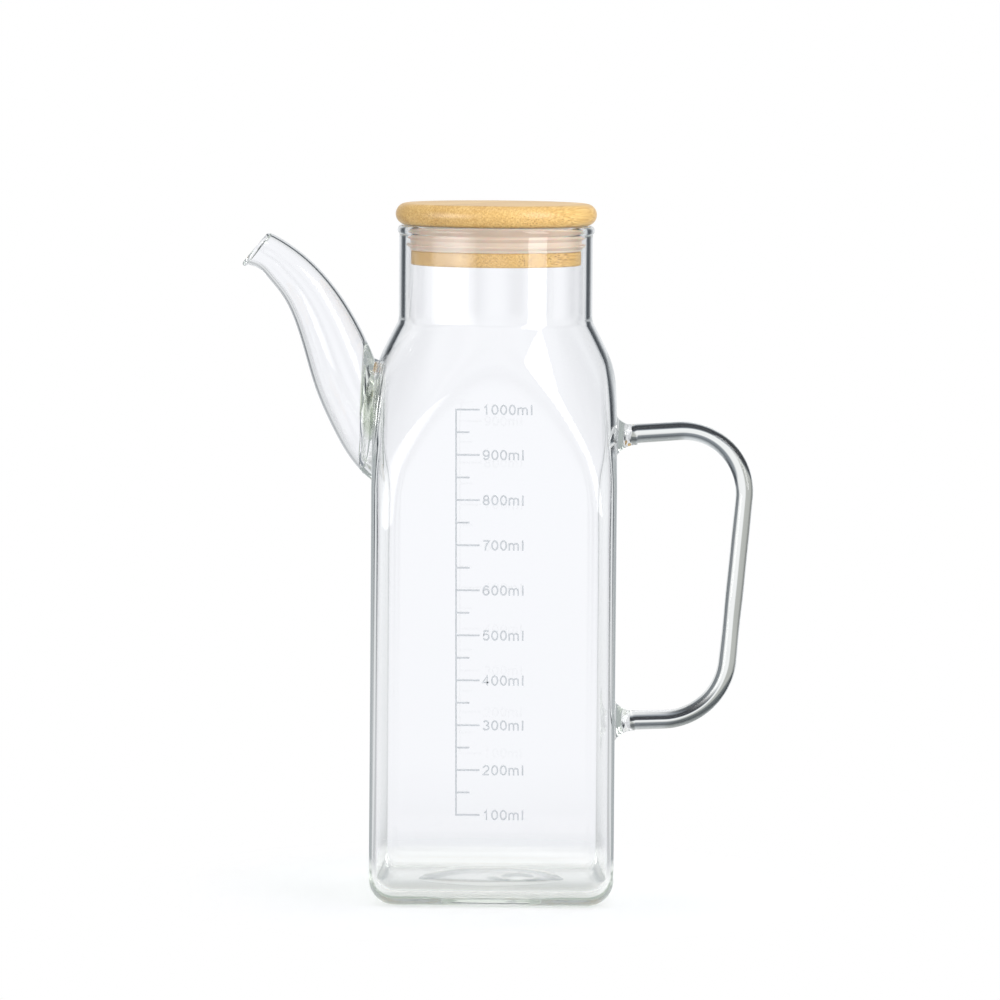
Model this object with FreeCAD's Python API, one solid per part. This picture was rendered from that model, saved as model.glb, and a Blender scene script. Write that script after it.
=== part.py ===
import FreeCAD, Part
import math
import os

V = FreeCAD.Vector

# A square glass jug with a round neck, a swan-neck spout on its -X face and a rod handle on its
# +X face, closed by a turned bamboo lid with a silicone seal. All sizes are in millimetres.
# Frame: the origin is on the table under the middle of the body, +Z is up, the spout points to -X
# and the handle to +X.

# ---- Glass body ----
BODY_WIDTH = 84.6            # across two flat faces
CORNER_RADIUS = 10.0         # of the four upright edges, outside
WALL = 2.3                   # glass of the body and shoulder
FLOOR = 4.0                  # glass of the bottom
HEEL_RADIUS = 8.6            # where the flat faces turn under, outside
PUSH_UP_RADIUS = 24.4        # round dish pushed up in the middle of the bottom
PUSH_UP_RISE = 1.6           # how far its middle stands above the foot

# ---- Shoulder: a dome of revolution that cuts arches into the four flat faces ----
CREASE_Z = 200.4             # where the shoulder meets the neck
SHOULDER_HEIGHT = 54.4       # from the crease down to where the dome meets the upright edges
SHOULDER_BULGE = 1.6         # of the dome's side, beyond a straight cone
ARCH_BLEND = 12.0            # rounding between the dome and the flat faces, outside
CREASE_BLEND = 3.0           # hollow rounding between the dome and the neck, outside

# ---- Neck ----
NECK_RADIUS = 33.7           # outside
NECK_WALL = 2.2
NECK_HEIGHT = 33.2           # from the crease to the top of the rim
RIM_FLARE = 0.7              # how far the rim stands out from the neck
RIM_HEIGHT = 3.6             # of the flared band
RIM_ROUND = 1.1              # rounding of the rim's two top edges

# ---- Spout: a round tube that narrows and curves away from the body ----
# Each station is a middle of the tube and its outside diameter there: out from the flat face,
# down from the crease, diameter. The first one is inside the body.
SPOUT_WALL = 1.5
SPOUT_STATIONS = [
    (-15.5, 52.5, 22.6),
    (-4.8, 45.4, 23.4),
    (3.6, 33.0, 23.4),
    (9.5, 20.1, 23.2),
    (14.1, 8.2, 21.4),
    (18.9, -2.4, 18.8),
    (25.6, -12.7, 15.9),
    (32.4, -19.6, 14.0),
    (38.1, -23.6, 13.0),
]
SPOUT_RINGS = 12             # sections of the loft, evenly along the stations
LIP = (41.7, -24.6, 14.4)    # the mouth's edge, flared downwards: out, down, diameter
LIP_TILT = 39.8              # of the mouth's axis above the horizontal, in degrees
ROOT_WELD = 2.5              # hollow rounding where spout and body are melted together

# ---- Handle: a solid rod with two rounded corners ----
# Heights are down from the crease for the upper end and up from the table for the lower end.
ROD_DIAMETER = 6.3
TOP_ROOT_DROP = 39.7         # rod's middle at the flat face
BOTTOM_ROOT_Z = 60.3         # rod's middle at the flat face
GRIP_TOP = (47.6, -36.4)     # out and up from the crease: where upper run and grip would cross
GRIP_BOTTOM = (38.1, 61.6)   # out and up from the table: where lower run and grip would cross
TOP_BEND = 21.5              # radius of the rod's middle in the upper corner
BOTTOM_BEND = 23.0           # radius of the rod's middle in the lower corner
FOOT_RADIUS = 9.4            # of the melted foot on the flat face
FOOT_LENGTH = 7.2            # how far the foot runs out along the rod

# ---- Bamboo lid ----
LID_OVERHANG = 1.3           # of the disc beyond the neck
LID_THICKNESS = 7.6
GROOVE_DEPTH = 2.2           # of the seal's groove in the plug
GROOVE_HEIGHT = 8.7
PLUG_CLEARANCE = 1.9         # between the plug's flange and the neck's bore
FLANGE_HEIGHT = 5.0
FLANGE_EASE = 0.6            # small rounding of the flange's edges

# ---- Silicone seal ----
SEAL_FIT = 0.1               # between the seal's bore and the groove
SEAL_BAND = 2.3              # thickness of the band
FIN_COUNT = 3
FIN_HEIGHT = 1.5             # of a fin at its root
FIN_TIP = 0.45               # of a fin at its edge
FIN_CLEARANCE = 0.2          # between a fin's edge and the neck's bore

# ---- Worked out from the sizes above ----
HALF_WIDTH = BODY_WIDTH / 2
NECK_BORE = NECK_RADIUS - NECK_WALL
RIM_Z = CREASE_Z + NECK_HEIGHT
LID_RADIUS = NECK_RADIUS + LID_OVERHANG
FLANGE_RADIUS = NECK_BORE - PLUG_CLEARANCE
GROOVE_RADIUS = FLANGE_RADIUS - GROOVE_DEPTH
CORNER_REACH = (HALF_WIDTH - CORNER_RADIUS) * math.sqrt(2) + CORNER_RADIUS
TUCK = 1.0                   # how far joined solids reach into each other
HAIR = 0.01                  # lengths below this count as none when edges are picked


def dome_circle():
    """Centre r, centre z and radius of the dome's side in a section through the axis.

    The circle goes through the crease and the upright edge, and bulges beyond their chord.
    """
    run = CORNER_REACH - NECK_RADIUS
    chord = math.hypot(run, SHOULDER_HEIGHT)
    radius = (chord ** 2 / 4 + SHOULDER_BULGE ** 2) / (2 * SHOULDER_BULGE)
    back = radius - SHOULDER_BULGE
    middle_r = NECK_RADIUS + run / 2
    middle_z = CREASE_Z - SHOULDER_HEIGHT / 2
    return middle_r - back * SHOULDER_HEIGHT / chord, middle_z - back * run / chord, radius


DOME_R, DOME_Z, DOME_RADIUS = dome_circle()


def dome_height(radius, inset):
    """The height at which the dome, moved inwards by inset, has a radius."""
    return DOME_Z + math.sqrt((DOME_RADIUS - inset) ** 2 - (radius - DOME_R) ** 2)


def dome_reach(z, inset):
    """The radius that the dome, moved inwards by inset, has at a height."""
    return DOME_R + math.sqrt((DOME_RADIUS - inset) ** 2 - (z - DOME_Z) ** 2)


def line(start, end):
    """A straight edge between two (x, z) points."""
    return Part.LineSegment(V(start[0], 0, start[1]), V(end[0], 0, end[1])).toShape()


def arc(start, middle, end):
    """A round edge through three (x, z) points."""
    return Part.Arc(*(V(x, 0, z) for x, z in (start, middle, end))).toShape()


def turned(edges, point=(0, 0), axis=(0, 0, 1)):
    """A solid of revolution from edges in the XZ plane, about an axis through an (x, z) point."""
    return Part.Face(Part.Wire(edges)).revolve(V(point[0], 0, point[1]), V(*axis), 360)


def turned_outline(points):
    """A solid of revolution about Z from a closed outline of straight (r, z) steps."""
    return turned([line(a, b) for a, b in zip(points, points[1:] + points[:1])])


def dome(neck, inset, bottom):
    """The solid under the dome: a wide drum below the arches, and the dome down from the neck."""
    top = dome_height(neck, inset)
    foot = dome_height(CORNER_REACH - inset, inset) - 4 * TUCK
    halfway = (foot + top) / 2
    reach = dome_reach(foot, inset)
    return turned([
        line((0, bottom), (reach, bottom)),
        line((reach, bottom), (reach, foot)),
        arc((reach, foot), (dome_reach(halfway, inset), halfway), (neck, top)),
        line((neck, top), (0, top)),
        line((0, top), (0, bottom)),
    ])


def square_prism(half_width, corner, bottom, top):
    """An upright square prism with rounded upright edges."""
    side = 2 * half_width
    block = Part.makeBox(side, side, top - bottom, V(-half_width, -half_width, bottom))
    return block.makeFillet(corner, [e for e in block.Edges if e.BoundBox.ZLength > side / 100])


def arches(solid, inset):
    """The edges where the dome cuts the prism: neither level nor upright."""
    low = dome_height(CORNER_REACH - inset, inset) - TUCK
    return [
        e for e in solid.Edges
        if e.BoundBox.ZMin > low and e.BoundBox.ZLength > HAIR
        and max(e.BoundBox.XLength, e.BoundBox.YLength) > HAIR
    ]


def level_ring(solid, z):
    """The edges that lie level at a height."""
    return [
        e for e in solid.Edges
        if abs(e.BoundBox.ZMin - z) < HAIR and e.BoundBox.ZLength < HAIR
    ]


def bottle_form(inset, neck, bottom, top):
    """The closed form of body, shoulder and neck, for the outside moved inwards by inset."""
    shoulder_top = dome_height(neck, inset)
    prism = square_prism(HALF_WIDTH - inset, CORNER_RADIUS - inset, bottom, shoulder_top + TUCK)
    prism = prism.makeFillet(HEEL_RADIUS - inset, level_ring(prism, bottom))
    body = prism.common(dome(neck, inset, bottom - TUCK))
    body = body.makeFillet(ARCH_BLEND - inset, arches(body, inset))
    stem = Part.makeCylinder(neck, top - shoulder_top + TUCK, V(0, 0, shoulder_top - TUCK))
    body = body.fuse(stem).removeSplitter()
    return body.makeFillet(CREASE_BLEND + inset, level_ring(body, shoulder_top))


def push_up(base):
    """A shallow round dish standing on a height: a slice of a ball, PUSH_UP_RISE high."""
    ball = (PUSH_UP_RADIUS ** 2 + PUSH_UP_RISE ** 2) / (2 * PUSH_UP_RISE)
    disc = Part.makeCylinder(PUSH_UP_RADIUS, 2 * PUSH_UP_RISE, V(0, 0, base))
    return Part.makeSphere(ball, V(0, 0, base + PUSH_UP_RISE - ball)).common(disc)


def rim_band():
    """The slightly flared band round the top of the neck, melted smooth."""
    low = RIM_Z - RIM_HEIGHT
    return turned_outline([
        (NECK_BORE, low),
        (NECK_RADIUS, low),
        (NECK_RADIUS + RIM_FLARE, low + RIM_HEIGHT / 2),
        (NECK_RADIUS + RIM_FLARE, RIM_Z),
        (NECK_BORE, RIM_Z),
    ])


def spout_form(inset, reach):
    """The spout's closed form, moved inwards by inset, and lengthened by reach past its mouth.

    One smooth curve through the stations carries the tube's middle in x and z, and its diameter
    in y. Rings stand evenly along it, square to it, and the lip is the last ring.
    """
    curve = Part.BSplineCurve()
    curve.interpolate([
        V(-HALF_WIDTH - out, diameter, CREASE_Z - down) for out, down, diameter in SPOUT_STATIONS
    ])
    rings = []
    for number in range(SPOUT_RINGS):
        share = number / (SPOUT_RINGS - 1)
        at = curve.FirstParameter + share * (curve.LastParameter - curve.FirstParameter)
        middle = curve.value(at)
        ahead = curve.tangent(at)[0]
        rings.append((V(middle.x, 0, middle.z), V(ahead.x, 0, ahead.z), middle.y / 2 - inset))
    out, down, diameter = LIP
    tilt = math.radians(LIP_TILT)
    facing = V(-math.cos(tilt), 0, math.sin(tilt))
    mouth = V(-HALF_WIDTH - out, 0, CREASE_Z - down)
    rings.append((mouth, facing, diameter / 2 - inset))
    tube = Part.makeLoft(
        [Part.Wire(Part.Circle(*ring).toShape()) for ring in rings], True, False
    )
    if reach:
        tube = tube.fuse(Part.makeCylinder(diameter / 2 - inset, reach, mouth, facing))
    return tube


def bend(before, corner, after, radius):
    """The first, middle and last point of the arc that rounds a corner of a path."""
    back = (before - corner).normalize()
    onward = (after - corner).normalize()
    half = back.getAngle(onward) / 2
    setback = radius / math.tan(half)
    nearest = radius / math.sin(half) - radius
    inward = (back + onward).normalize()
    return corner + back * setback, corner + inward * nearest, corner + onward * setback


def handle():
    """The rod: two straight runs, a straight grip and two bends, with a foot at each end."""
    top_root = V(HALF_WIDTH, 0, CREASE_Z - TOP_ROOT_DROP)
    bottom_root = V(HALF_WIDTH, 0, BOTTOM_ROOT_Z)
    grip_top = V(HALF_WIDTH + GRIP_TOP[0], 0, CREASE_Z + GRIP_TOP[1])
    grip_bottom = V(HALF_WIDTH + GRIP_BOTTOM[0], 0, GRIP_BOTTOM[1])
    start = top_root + (top_root - grip_top).normalize() * TUCK
    end = bottom_root + (bottom_root - grip_bottom).normalize() * TUCK
    upper = bend(top_root, grip_top, grip_bottom, TOP_BEND)
    lower = bend(grip_top, grip_bottom, bottom_root, BOTTOM_BEND)
    path = Part.Wire([
        Part.LineSegment(start, upper[0]).toShape(),
        Part.Arc(*upper).toShape(),
        Part.LineSegment(upper[2], lower[0]).toShape(),
        Part.Arc(*lower).toShape(),
        Part.LineSegment(lower[2], end).toShape(),
    ])
    section = Part.Wire(Part.Circle(start, upper[0] - start, ROD_DIAMETER / 2).toShape())
    rod = path.makePipeShell([section], True, True)
    return rod.fuse([handle_foot(top_root.z), handle_foot(bottom_root.z)])


def handle_foot(z):
    """The melted foot of the rod: a disc that narrows in a hollow curve, turned about X."""
    rod = ROD_DIAMETER / 2
    inside = HALF_WIDTH - TUCK
    hollow = 1 - math.sqrt(0.5)
    middle = (
        HALF_WIDTH + FOOT_LENGTH * hollow,
        z + rod + (FOOT_RADIUS - rod) * hollow,
    )
    edges = [
        line((inside, z), (inside, z + FOOT_RADIUS)),
        line((inside, z + FOOT_RADIUS), (HALF_WIDTH, z + FOOT_RADIUS)),
        arc((HALF_WIDTH, z + FOOT_RADIUS), middle, (HALF_WIDTH + FOOT_LENGTH, z + rod)),
        line((HALF_WIDTH + FOOT_LENGTH, z + rod), (HALF_WIDTH + FOOT_LENGTH, z)),
        line((HALF_WIDTH + FOOT_LENGTH, z), (inside, z)),
    ]
    return turned(edges, (inside, z), (1, 0, 0))


def weld_seam(solid):
    """The edges where the spout leaves the flat face: they all reach the middle plane y = 0."""
    return [
        e for e in solid.Edges
        if abs(e.BoundBox.XMin + HALF_WIDTH) < HAIR and e.BoundBox.XLength < WALL
        and min(abs(e.BoundBox.YMin), abs(e.BoundBox.YMax)) < HAIR
        and e.BoundBox.ZMin > FLOOR + HEEL_RADIUS
    ]


def glass_jug():
    """Body, neck, spout and handle, melted together into one piece of glass."""
    outside = bottle_form(0, NECK_RADIUS, 0, RIM_Z)
    outside = outside.fuse([rim_band(), spout_form(0, 0), handle()])
    inside = bottle_form(WALL, NECK_BORE, FLOOR, RIM_Z + TUCK).cut(push_up(FLOOR))
    jug = outside.cut([inside, spout_form(SPOUT_WALL, TUCK), push_up(0)])
    jug = jug.makeFillet(ROOT_WELD, weld_seam(jug))
    return jug.makeFillet(RIM_ROUND, level_ring(jug, RIM_Z))


def bamboo_lid():
    """The lid: a disc with a full round edge, and under it a plug with a groove for the seal."""
    nose = LID_THICKNESS / 2
    flat = LID_RADIUS - nose
    top = RIM_Z + LID_THICKNESS
    disc = turned([
        line((0, RIM_Z), (flat, RIM_Z)),
        arc((flat, RIM_Z), (LID_RADIUS, RIM_Z + nose), (flat, top)),
        line((flat, top), (0, top)),
        line((0, top), (0, RIM_Z)),
    ])
    flange_top = RIM_Z - GROOVE_HEIGHT
    flange_bottom = flange_top - FLANGE_HEIGHT
    core = Part.makeCylinder(GROOVE_RADIUS, GROOVE_HEIGHT, V(0, 0, flange_top))
    flange = Part.makeCylinder(FLANGE_RADIUS, FLANGE_HEIGHT, V(0, 0, flange_bottom))
    rims = level_ring(flange, flange_top) + level_ring(flange, flange_bottom)
    return disc.fuse([core, flange.makeFillet(FLANGE_EASE, rims)]).removeSplitter()


def silicone_seal():
    """The seal: a band in the plug's groove, with fins that reach out to the neck's bore."""
    bore = GROOVE_RADIUS + SEAL_FIT
    band = bore + SEAL_BAND
    edge = NECK_BORE - FIN_CLEARANCE
    bottom = RIM_Z - GROOVE_HEIGHT
    pitch = GROOVE_HEIGHT / FIN_COUNT
    outline = [(bore, RIM_Z), (bore, bottom), (band, bottom)]
    for number in range(FIN_COUNT):
        root = bottom + pitch * (number + 0.5) - FIN_HEIGHT / 2
        outline += [
            (band, root),
            (edge, root + FIN_HEIGHT - FIN_TIP),
            (edge, root + FIN_HEIGHT),
            (band, root + FIN_HEIGHT),
        ]
    outline.append((band, RIM_Z))
    return turned_outline(outline)


os.makedirs("parts", exist_ok=True)
for name, shape in (
    ("glass_jug", glass_jug()),
    ("bamboo_lid", bamboo_lid()),
    ("silicone_seal", silicone_seal()),
):
    print(name, "solids", len(shape.Solids), "valid", shape.isValid(), "mm3", round(shape.Volume))
    shape.exportStep(f"parts/{name}.step")
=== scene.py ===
import math

import bpy
import numpy as np
from mathutils import Matrix, Vector


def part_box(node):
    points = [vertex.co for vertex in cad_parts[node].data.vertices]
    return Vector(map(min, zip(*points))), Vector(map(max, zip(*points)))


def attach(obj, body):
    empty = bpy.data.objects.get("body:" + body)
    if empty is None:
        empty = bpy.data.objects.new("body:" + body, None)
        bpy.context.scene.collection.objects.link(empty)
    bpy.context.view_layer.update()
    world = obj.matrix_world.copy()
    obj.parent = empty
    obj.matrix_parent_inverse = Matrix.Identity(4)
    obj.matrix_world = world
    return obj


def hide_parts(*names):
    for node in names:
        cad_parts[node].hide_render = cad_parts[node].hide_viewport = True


# A clear glass jug with a swan-neck spout, a rod handle, a printed scale, a bamboo lid and its
# silicone seal. Lengths in this script are millimetres; meshes are written in metres.
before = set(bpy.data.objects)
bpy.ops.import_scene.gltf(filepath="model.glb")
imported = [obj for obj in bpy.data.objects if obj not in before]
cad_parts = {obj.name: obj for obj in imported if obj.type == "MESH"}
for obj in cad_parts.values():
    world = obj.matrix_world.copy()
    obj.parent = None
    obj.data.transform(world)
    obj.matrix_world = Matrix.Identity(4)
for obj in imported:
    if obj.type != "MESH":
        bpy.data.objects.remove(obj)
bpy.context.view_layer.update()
MM = 0.001

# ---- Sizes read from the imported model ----
GLASS_LOW, GLASS_HIGH = (np.array(corner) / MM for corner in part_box("glass_jug"))
LID_HIGH = np.array(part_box("bamboo_lid")[1]) / MM
SEAL_LOW, SEAL_HIGH = (np.array(corner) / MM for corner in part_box("silicone_seal"))
PRINT_THICKNESS = 0.05
HALF_WIDTH = GLASS_HIGH[1] - PRINT_THICKNESS
RIM_Z = GLASS_HIGH[2]
LID_RADIUS = LID_HIGH[0]
LID_TOP = LID_HIGH[2]

# ---- Glass ----
CORNER_RADIUS = 10.0         # of the four upright edges, outside
WALL = 2.3
FLOOR = 4.0
HEEL_RADIUS = 8.6            # where the faces turn under, outside
PUSH_UP_RADIUS = 24.4        # round dish in the bottom
PUSH_UP_RISE = 2.2
DISH_FLATNESS = 6            # the dish falls from its middle by this power of the distance
INNER_RISE = 1.2             # of the floor inside, over the dish
MARK_ASIDE = 9.0             # the round mark where the rod was broken off the bottom
MARK_RADIUS = 7.0
MARK_DEPTH = 0.6
NECK_RADIUS = 33.7
NECK_WALL = 2.2
NECK_HEIGHT = 33.2
CREASE_Z = RIM_Z - NECK_HEIGHT
CREASE_SOFTNESS = 0.7        # how far the hollow between shoulder and neck is filled
SHOULDER_HEIGHT = 54.4
SHOULDER_BULGE = 1.6
ARCH_SOFTNESS = 3.2          # how far the ridge between shoulder and flat faces is rounded off
RIM_FLARE = 0.6
RIM_BEAD_HEIGHT = 3.4
RIM_BEAD_INWARD = 0.25       # how far the bead swells into the bore
NECK_OVERRUN = 3.0           # how far the inside's cutting form goes past the rim
CORNER_REACH = (HALF_WIDTH - CORNER_RADIUS) * math.sqrt(2) + CORNER_RADIUS

# Spout: out from the flat face, down from the crease, outside diameter.
SPOUT_WALL = 1.5
SPOUT_STATIONS = [
    (-15.5, 52.5, 22.6),
    (-4.8, 45.4, 23.4),
    (3.6, 33.0, 23.4),
    (9.5, 20.1, 23.2),
    (14.1, 8.2, 21.4),
    (18.9, -2.4, 18.8),
    (25.6, -12.7, 15.9),
    (32.4, -19.6, 14.0),
    (38.1, -23.6, 13.0),
    (41.7, -24.6, 14.4),
]
WELD_Z = 166.0               # middle of the seam between spout and face
WELD_HALF_HEIGHT = 18.8
WELD_HALF_WIDTH = 11.0
WELD_THICKNESS = 1.5         # radius of the bead, along the face
WELD_DEPTH = 1.7             # times that, out from the face
WELD_LEAN = 1.6              # how far its middle stands out from the face
ROOT_SHARE = 0.74            # of its width that the bore keeps in the thick glass of the root
ROOT_START = 0.8             # out from the face: the bore is narrow up to here
ROOT_END = 4.2               # and has its full width from here
LIP_TILT = 39.8              # of the mouth's axis above the level, in degrees
LIP_TURN = 9.0               # the last stretch, over which the rings lean into that tilt
BORE_OVERRUN = 4.0           # how far the bore's cutting form goes past the mouth
LIP_SWELL = 0.12             # how much thicker than half the wall the lip's bead is
LIP_INWARD = 0.1             # how far the bead's middle lies in from the wall's

# Handle: a rod with two rounded corners. Heights are down or up from the crease for the upper
# end, and up from the table for the lower end.
ROD_DIAMETER = 6.2
ROD_THICKER = 0.6            # extra diameter near the two ends
TOP_ROOT_DROP = 39.7
BOTTOM_ROOT_Z = 60.3
GRIP_TOP = (47.4, -36.4)     # where the upper run and the grip would cross
GRIP_BOTTOM = (38.0, 61.6)   # where the lower run and the grip would cross
TOP_BEND = 21.5              # radius of the rod's middle in the bends
BOTTOM_BEND = 23.0
ROD_TAPER = 45.0             # from an end to where the rod has its plain diameter
ROOT_DEPTH = 1.5             # how far the rod's ends reach into the wall
TOP_FOOT_RADIUS = 8.8
LOW_FOOT_RADIUS = 9.4
FOOT_LENGTH = 7.6
FOOT_DEPTH = 1.6             # how far the feet reach into the wall
FOOT_UNDERCUT = 0.04         # how far a foot's narrow end lies under the rod's surface
LOBE_HEIGHT = 0.07           # of the feet's soft lobes, as a share of the reach

# How finely the glass is drawn.
TURN_STEPS = 224             # columns round the body, a multiple of 4
DISH_RINGS = 34              # over the dish outside
FLOOR_RINGS = 12             # and inside
FOOT_RINGS = 8
HEEL_RINGS = 13
SIDE_RINGS = 26
SHOULDER_RINGS = 56
CREASE_RINGS = 18
NECK_RINGS = 10
SHOULDER_BELOW = 4.0         # the shoulder's rings start this far under it
CREASE_BELOW = 4.0           # the crease's rings lie from here under it
CREASE_ABOVE = 3.0           # to here over it
SPOUT_RINGS = 110
SPOUT_COLUMNS = 72
RIM_COLUMNS, RIM_STEPS = 192, 28       # round the ring of a bead, and round its section
MOUTH_COLUMNS, MOUTH_STEPS = 96, 16
WELD_COLUMNS, WELD_STEPS = 160, 24
BEND_POINTS = 30             # along each bend of the rod
RUN_POINTS = 16              # along its upper and lower run
GRIP_POINTS = 30
ROD_COLUMNS = 40
FOOT_SLICES, FOOT_COLUMNS = 30, 48


# ---- Mesh making ----
def rings_surface(rings, start_pole=True, end_pole=True):
    """Points and faces of a closed surface from rings of points, shape (rings, columns, 3).

    Neighbouring rings are joined by quads, each ring runs round to its own start, and the first
    and last rings are closed by a fan to the ring's middle point, or joined to each other when
    there are no poles. Rings run anticlockwise when seen against the way they advance, so the
    faces point outwards.
    """
    rings = np.asarray(rings, float)
    count, columns = rings.shape[:2]
    points = rings.reshape(-1, 3)
    at = np.arange(count * columns).reshape(count, columns)
    beside = np.roll(at, -1, axis=1)
    quads = np.stack([at[:-1], beside[:-1], beside[1:], at[1:]], axis=-1).reshape(-1, 4)
    faces = quads.tolist()
    if start_pole:
        points = np.vstack([points, rings[0].mean(axis=0)])
        pole = np.full(columns, len(points) - 1)
        faces += np.stack([pole, beside[0], at[0]], axis=-1).tolist()
    if end_pole:
        points = np.vstack([points, rings[-1].mean(axis=0)])
        pole = np.full(columns, len(points) - 1)
        faces += np.stack([at[-1], beside[-1], pole], axis=-1).tolist()
    if not start_pole and not end_pole:
        closing = np.stack([at[-1], beside[-1], beside[0], at[0]], axis=-1).reshape(-1, 4)
        faces += closing.tolist()
    return points, faces


def rings_mesh(name, rings, start_pole=True, end_pole=True):
    """An object from the surface of rings."""
    return mesh_object(name, *rings_surface(rings, start_pole, end_pole))


def placed_object(name, data):
    """A new object in the scene."""
    made = bpy.data.objects.new(name, data)
    bpy.context.scene.collection.objects.link(made)
    return made


def mesh_object(name, points, faces):
    """A smooth-shaded object from points in millimetres and faces."""
    mesh = bpy.data.meshes.new(name)
    mesh.from_pydata((np.asarray(points) * MM).tolist(), [], faces)
    mesh.validate()
    mesh.shade_smooth()
    return placed_object(name, mesh)


def combined(name, base, steps):
    """The first form with others joined to it or cut from it in turn, as one new mesh."""
    for operation, other in steps:
        cut = base.modifiers.new(operation, "BOOLEAN")
        cut.operation = operation
        cut.object = other
        cut.solver = "MANIFOLD"
    bpy.context.view_layer.update()
    ready = base.evaluated_get(bpy.context.evaluated_depsgraph_get())
    mesh = bpy.data.meshes.new_from_object(ready)
    mesh.name = name
    for form in [base] + [other for _, other in steps]:
        bpy.data.objects.remove(form)
    return placed_object(name, mesh)


def full_turn(count):
    """Evenly spaced angles once round."""
    return np.linspace(0, 2 * np.pi, count, endpoint=False)


def unit(vectors):
    """Vectors, or rows of them, at length 1."""
    return vectors / np.linalg.norm(vectors, axis=-1, keepdims=True)


def soft_min(a, b, softness):
    """The lower of two values, rounded off by a parabola where they are within softness."""
    near = np.maximum(softness - np.abs(a - b), 0)
    return np.minimum(a, b) - near ** 2 / (4 * softness)


def eased(share):
    """A share from 0 to 1 that starts and ends gently: 3 s^2 - 2 s^3."""
    return share * share * (3 - 2 * share)


def smooth_curve(knots, shares):
    """A natural cubic spline through knots (rows of values), read at shares from 0 to 1.

    The knots stand at the summed lengths of the steps between them, taken in their first two
    columns. Each span is the usual cubic of its two ends and their second derivatives.
    """
    knots = np.asarray(knots, float)
    steps = np.linalg.norm(np.diff(knots[:, :2], axis=0), axis=1)
    at = np.concatenate([[0], np.cumsum(steps)])
    count = len(knots)
    matrix = np.eye(count)
    right = np.zeros_like(knots)
    inner = np.arange(1, count - 1)
    matrix[inner, inner - 1] = steps[:-1] / 6
    matrix[inner, inner] = (steps[:-1] + steps[1:]) / 3
    matrix[inner, inner + 1] = steps[1:] / 6
    slopes = np.diff(knots, axis=0) / steps[:, None]
    right[inner] = slopes[1:] - slopes[:-1]
    bend = np.linalg.solve(matrix, right)
    where = np.asarray(shares) * at[-1]
    span = np.clip(np.searchsorted(at, where, side="right") - 1, 0, count - 2)
    width = steps[span][:, None]
    after = (where - at[span])[:, None]
    before = width - after
    return (
        (bend[span] * before ** 3 + bend[span + 1] * after ** 3) / (6 * width)
        + (knots[span] / width - bend[span] * width / 6) * before
        + (knots[span + 1] / width - bend[span + 1] * width / 6) * after
    )


def headings(centres):
    """Unit directions along a path of points."""
    return unit(np.gradient(centres, axis=0))


def rings_along(centres, ahead, radii, columns):
    """Round rings, one at each centre of a path in the XZ plane, each square to its heading."""
    side = np.tile([0.0, 1.0, 0.0], (len(centres), 1))
    across = np.cross(side, ahead)
    turn = full_turn(columns)
    ring = (
        np.cos(turn)[None, :, None] * across[:, None, :]
        + np.sin(turn)[None, :, None] * side[:, None, :]
    )
    return centres[:, None, :] + np.asarray(radii)[:, None, None] * ring


# ---- Glass body ----
def dome_circle():
    """Centre r, centre z and radius of the shoulder's side in a section through the axis."""
    run = CORNER_REACH - NECK_RADIUS
    chord = math.hypot(run, SHOULDER_HEIGHT)
    radius = (chord ** 2 / 4 + SHOULDER_BULGE ** 2) / (2 * SHOULDER_BULGE)
    back = radius - SHOULDER_BULGE
    middle_r = NECK_RADIUS + run / 2
    middle_z = CREASE_Z - SHOULDER_HEIGHT / 2
    return middle_r - back * SHOULDER_HEIGHT / chord, middle_z - back * run / chord, radius


def column_directions():
    """Angles of the grid's columns: even steps along a rounded square's outline.

    A quarter starts in the middle of a flat side; a third of its columns lie in the corner.
    """
    quarter = TURN_STEPS // 4
    corner = quarter // 3
    flat = (quarter - corner) // 2
    reach = HALF_WIDTH - CORNER_RADIUS
    edge = np.arctan2(np.linspace(0, reach, flat, endpoint=False), HALF_WIDTH)
    turn = np.linspace(0, np.pi / 2, quarter - 2 * flat, endpoint=False)
    bend = np.arctan2(reach + CORNER_RADIUS * np.sin(turn), reach + CORNER_RADIUS * np.cos(turn))
    last = np.pi / 2 - np.arctan2(np.linspace(reach, 0, flat, endpoint=False), HALF_WIDTH)
    one = np.concatenate([edge, bend, last])
    return np.concatenate([one + n * np.pi / 2 for n in range(4)])


def square_reach(angles, half, corner):
    """How far a square with rounded corners reaches from its middle in each direction.

    On a flat side this is half the width over the direction's larger component. In a corner
    it is the farther crossing of the direction with the corner's circle.
    """
    x, y = np.abs(np.cos(angles)), np.abs(np.sin(angles))
    flat = half / np.maximum(x, y)
    inner = half - corner
    along = inner * (x + y)
    round_part = along + np.sqrt(np.maximum(along ** 2 - 2 * inner ** 2 + corner ** 2, 0))
    in_corner = flat * np.minimum(x, y) > inner
    return np.where(in_corner, round_part, flat)


def wall_rings(angles, heights, inset, neck, heel, base):
    """Rings of the bottle's side at heights: how far it reaches in each direction.

    The rounded square and the turned shoulder are taken together by the lower of the two, with
    the ridge rounded off, and the neck's cylinder is the least reach, with the hollow filled.
    Near the base the square shrinks along the heel's quarter circle.
    """
    middle_r, middle_z, radius = dome_circle()
    z = np.asarray(heights, float)[:, None]
    rise = np.clip(base + heel - z, 0, heel)
    shrink = heel - np.sqrt(heel ** 2 - rise ** 2)
    square = square_reach(
        np.tile(angles, (len(z), 1)), HALF_WIDTH - inset - shrink, CORNER_RADIUS - inset - shrink
    )
    squared = np.clip((radius - inset) ** 2 - (z - middle_z) ** 2, 1, None)
    shoulder = middle_r + np.sqrt(squared)
    reach = soft_min(square, np.broadcast_to(shoulder, square.shape), ARCH_SOFTNESS)
    return -soft_min(-reach, np.full_like(reach, -neck), CREASE_SOFTNESS)


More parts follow.
